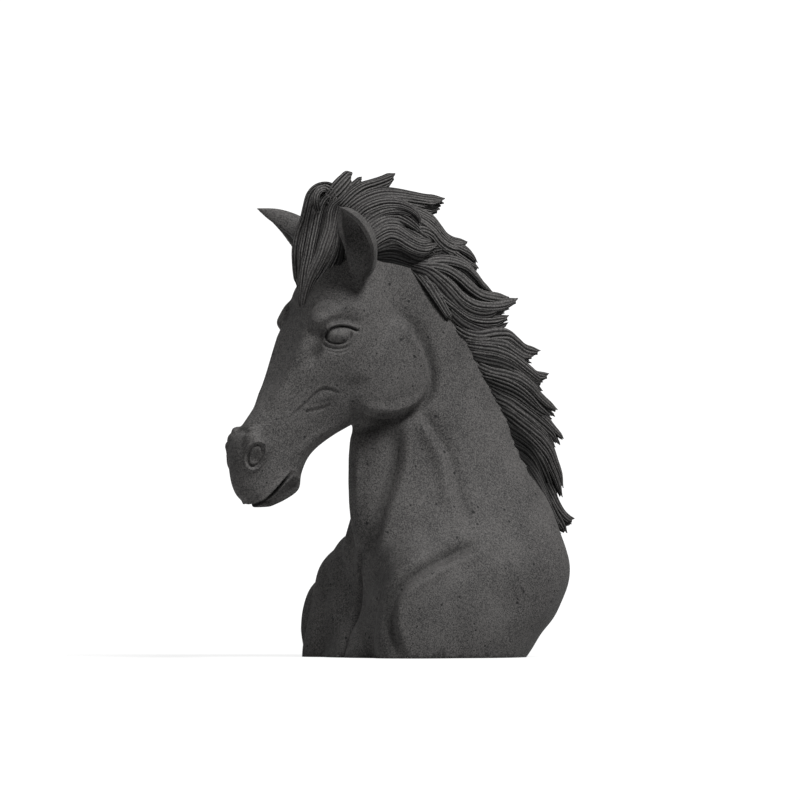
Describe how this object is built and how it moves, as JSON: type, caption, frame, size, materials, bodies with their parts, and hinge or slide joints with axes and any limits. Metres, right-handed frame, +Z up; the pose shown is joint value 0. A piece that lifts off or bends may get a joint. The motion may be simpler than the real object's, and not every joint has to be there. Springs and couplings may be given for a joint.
{
  "type": "chess knight sculpture",
  "caption": "Horse head, neck and chest of a large chess knight, cast in one piece of dark stone with a swept mane, cut flat below.",
  "frame": {"origin": "middle of the flat underside, below the neck", "axes": "+Z up, -Y the way the horse faces, +X the horse's left side"},
  "size_m": [0.27, 0.5035, 0.6078],
  "materials": {
    "stone": null
  },
  "bodies": {
    "root": {"knight_bust": "stone"}
  },
  "joints": []
}
